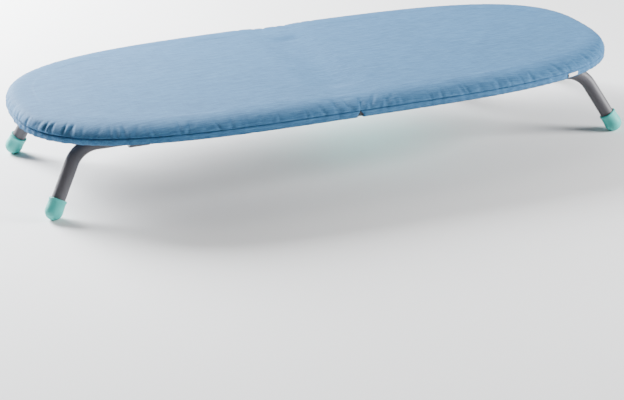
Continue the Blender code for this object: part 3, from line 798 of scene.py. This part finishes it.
def add_sleeve():
    """The sleeve's shell and tab, with its core, outer edges, tube bores and hand grip cut out."""
    x0, x1 = SLEEVE_X
    z0, z1 = SLEEVE_Z
    wide, tab = SLEEVE_HALF_WIDTH, TAB_HALF_WIDTH
    half = [(x0, 0.0), (x0, wide), (x1, wide)]
    half += arc((x1 + SHOULDER_R, tab + SHOULDER_R), SHOULDER_R, 180, 270, 10)
    half += arc((TAB_TOP_X - TAB_CORNER_R, tab - TAB_CORNER_R), TAB_CORNER_R, 90, 0, 14)
    outline = rounded(half + [(x, -y) for x, y in half[:0:-1]], 0.004)
    sleeve = add_piece("sleeve_shell", prism(outline, z0, z1), "mint_plastic", "sleeve", ["lock_sleeve"])
    bevelled(sleeve, 0.0028, 4, 60)
    core = TUBE_Y - CORE_MARGIN
    shapes = [box((x1, -0.09, TAB_TOP_Z), (TAB_TOP_X + 0.01, 0.09, z1 + OVERCUT)),
              box((x0 - OVERCUT, -core, TAB_TOP_Z), (x1 + 0.001, core, z1 + OVERCUT))]
    for sign in (-1, 1):
        corner = [(wide + OVERCUT, z0 - OVERCUT), (wide + OVERCUT, z0 + EDGE_ROUND)]
        corner += arc((wide - EDGE_ROUND, z0 + EDGE_ROUND), EDGE_ROUND, 0, -90, 12)
        corner += [(wide - EDGE_ROUND, z0 - OVERCUT)]
        shapes.append(prism(corner, x0 - OVERCUT, x1 + OVERCUT, lambda a, b, h, sign=sign: (h, sign * a, b)))
        length = x1 - x0 + 0.006
        bore = [(0, 0), (SLEEVE_BORE_R, 0), (SLEEVE_BORE_R, length), (0, length)]
        shapes.append(turned(bore, (x0 - 0.003, sign * TUBE_Y, TUBE_Z), (1, 0, 0)))
    shapes.append(prism(grip_outline(0.0), z0 - OVERCUT, z0 + GRIP_DEPTH))
    cut(sleeve, shapes)


def add_grip_lip():
    """A rolled lip round the sleeve's hand grip."""
    bm = bmesh.new()
    loop = grip_outline(LIP_OUT)
    turns = [2 * math.pi * k / LIP_SIDES for k in range(LIP_SIDES)]
    rings = []
    for i, (x, y) in enumerate(loop):
        ahead, behind = Vector(loop[(i + 1) % len(loop)]), Vector(loop[i - 1])
        along = (ahead - behind).normalized()
        out = Vector((along.y, -along.x)) * LIP_WIDE
        rings.append([bm.verts.new((x + out.x * math.cos(t), y + out.y * math.cos(t),
                                    SLEEVE_Z[0] + 0.0004 + LIP_HIGH * math.sin(t))) for t in turns])
    pipe(bm, [*rings, rings[0]])
    add_piece("sleeve_grip_lip", bm, "mint_plastic", "sleeve")


STRAP_X, STRAP_WIDTH, STRAP_T = 0.210, 0.022, 0.0014
# In the strap's own plane, as (y, z): where it is stitched, and the tip of its loop
STRAP_START = Vector((TUBE_Y + 0.0071, TUBE_Z - 0.0071))
STRAP_TIP = Vector((TUBE_Y + 0.030, TUBE_Z - 0.0618))
STRAP_STEPS, STRAP_BULGE, STRAP_NECK = 26, 0.0085, 0.0009
LABEL_X, LABEL_LENGTH, LABEL_HEIGHT, LABEL_T = 0.312, 0.016, 0.0050, 0.0005


def strap_side(sign):
    """One side of the hanging loop, from the stitching down to the tip."""
    run = STRAP_TIP - STRAP_START
    along = run.normalized()
    across = Vector((-along.y, along.x))
    line = []
    for i in range(STRAP_STEPS + 1):
        share = i / STRAP_STEPS
        bulge = STRAP_BULGE * math.sin(math.pi * share**1.6) ** 0.7 if 0 < i < STRAP_STEPS else 0.0
        wide = sign * (bulge + STRAP_NECK * (1 - share))
        line.append(STRAP_START + along * run.length * share + across * wide)
    return line


def add_strap():
    """Webbing round the tube, stitched where it leaves it, and hanging in a long loop."""
    ring = [Vector(p) for p in arc((TUBE_Y, TUBE_Z), TUBE_R + STRAP_T, -30, -300, 34)]
    loop = strap_side(1) + strap_side(-1)[-2::-1]
    bm = bmesh.new()
    for path in (loop, ring):
        columns = []
        for i, p in enumerate(path):
            ahead, behind = path[min(i + 1, len(path) - 1)], path[max(i - 1, 0)]
            tangent = (ahead - behind).normalized()
            out = Vector((-tangent.y, tangent.x)) * STRAP_T / 2
            column = []
            for share in (-1, -0.94, -0.5, 0, 0.5, 0.94, 1):
                thin = 0.55 if abs(share) == 1 else 1.0
                column.append((STRAP_X + share * STRAP_WIDTH / 2, p + out * thin, p - out * thin))
            columns.append(([bm.verts.new((x, a.x, a.y)) for x, a, _ in column],
                            [bm.verts.new((x, b.x, b.y)) for x, _, b in column]))
        for (a0, b0), (a1, b1) in zip(columns, columns[1:]):
            lattice(bm, [a0, a1])
            lattice(bm, [b1, b0])
            for k in (0, -1):
                bm.faces.new((a0[k], a1[k], b1[k], b0[k]))
        for ends in (columns[0], columns[-1]):
            lattice(bm, ends)
    add_piece("strap_loop", bm, "webbing", "right_half", ["closure_strap"])


def add_label():
    """A blank folded tag in the seam, slightly curled."""
    bm = bmesh.new()
    lines = []
    for i in range(13):
        u = i / 12 - 0.5
        point, normal = edge_point(LABEL_X + u * LABEL_LENGTH, -1)
        line = []
        for j in range(7):
            v = j / 6
            lift = 0.0022 + 0.0004 * math.sin(math.pi * v) + 0.0003 * math.sin(5 * u + 2 * v)
            place = point + normal * lift
            line.append(bm.verts.new((place.x, place.y, SEAM_Z - 0.0016 - LABEL_HEIGHT * v)))
        lines.append(line)
    lattice(bm, lines)
    tag = add_piece("side_tag", bm, "label", angle=180)
    thickened(tag, LABEL_T)
    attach(tag, "right_half")
    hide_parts("side_label")


# ---------------------------------------------------------------- the set

SENSOR_MM, PICTURE_WIDTH = 36.0, 624
FLOOR_REACH = 12


def look_from(azimuth, elevation, roll, place, focal_px):
    """A camera at place, turned to an azimuth and elevation in degrees and rolled about its line of sight."""
    az, el, ro = map(math.radians, (azimuth, elevation, roll))
    back = Vector((math.sin(az) * math.cos(el), -math.cos(az) * math.cos(el), math.sin(el)))
    right = (-back).cross(Vector((0, 0, 1))).normalized()
    down = (-back).cross(right)
    across = right * math.cos(ro) + down * math.sin(ro)
    below = down * math.cos(ro) - right * math.sin(ro)
    camera = bpy.data.objects.new("camera", bpy.data.cameras.new("camera"))
    camera.data.sensor_width = SENSOR_MM
    camera.data.lens = focal_px / PICTURE_WIDTH * SENSOR_MM
    camera.data.clip_start, camera.data.clip_end = 0.05, 50
    turn = Matrix((across, -below, back)).transposed().to_4x4()
    camera.matrix_world = Matrix.Translation(place) @ turn
    bpy.context.scene.collection.objects.link(camera)
    bpy.context.scene.camera = camera


def add_light(name, place, aim, size, power, colour=(1, 1, 1)):
    """A soft round light that the camera doesn't see."""
    data = bpy.data.lights.new(name, "AREA")
    data.shape, data.size, data.energy, data.color = "DISK", size, power, colour
    light = bpy.data.objects.new(name, data)
    light.location = place
    light.rotation_euler = (Vector(aim) - Vector(place)).to_track_quat("-Z", "Y").to_euler()
    light.visible_camera = False
    bpy.context.scene.collection.objects.link(light)


def add_set():
    """A pale floor, a dim even surround and three soft lights."""
    floor = bpy.data.objects.new("floor", bpy.data.meshes.new("floor"))
    bm = bmesh.new()
    bmesh.ops.create_grid(bm, x_segments=1, y_segments=1, size=FLOOR_REACH)
    bm.to_mesh(floor.data)
    bm.free()
    made, nodes, links, principled = shader("floor_paint")
    fine = noise(nodes, links, 3, detail=2)
    tint = ramp(nodes, links, fine, [(0.3, (0.82, 0.82, 0.82)), (0.7, (0.84, 0.84, 0.84))])
    links.new(tint, principled.inputs["Base Color"])
    principled.inputs["Roughness"].default_value = 0.8
    floor.data.materials.append(made)
    bpy.context.scene.collection.objects.link(floor)
    world = bpy.data.worlds.new("studio")
    world.use_nodes = True
    background = world.node_tree.nodes["Background"]
    background.inputs["Color"].default_value = (1, 1, 1, 1)
    background.inputs["Strength"].default_value = 0.15
    bpy.context.scene.world = world
    add_light("overhead", (0.1, 1.5, 2.3), (0.0, 0.0, 0.0), 2.2, 24)
    add_light("back_left", (-0.95, 1.40, 0.84), (-0.40, 0.15, 0.0), 1.0, 226, (0.96, 0.98, 1.0))
    add_light("front_right", (2.0, -0.95, 0.80), (1.0, -0.35, 0.0), 1.0, 120)


def main():
    look_from(-19.08, 22.71, 1.71, (-0.7911, -2.2689, 0.9184), 1878.0)
    add_set()
    slots = {s["node"]: s["material_slot"] for s in frame["record"]["subparts"]}
    for node, obj in frame["nodes"].items():
        obj.data.materials.clear()
        obj.data.materials.append(LOOKS[slots[node]])
    for side, half in SIDES:
        add_pad(side, half)
        add_panels(side, half)
        add_side_ribs(side, half)
        for sign, edge in EDGES:
            add_leg(side, sign, f"{half}_{edge}")
            for x, place in zip(CLAMP_X, ("fold", "nose")):
                add_clamp(side, sign, x, f"{half}_{edge}_{place}", f"{half}_half")
    add_cover()
    add_sleeve()
    add_grip_lip()
    add_strap()
    add_label()


main()
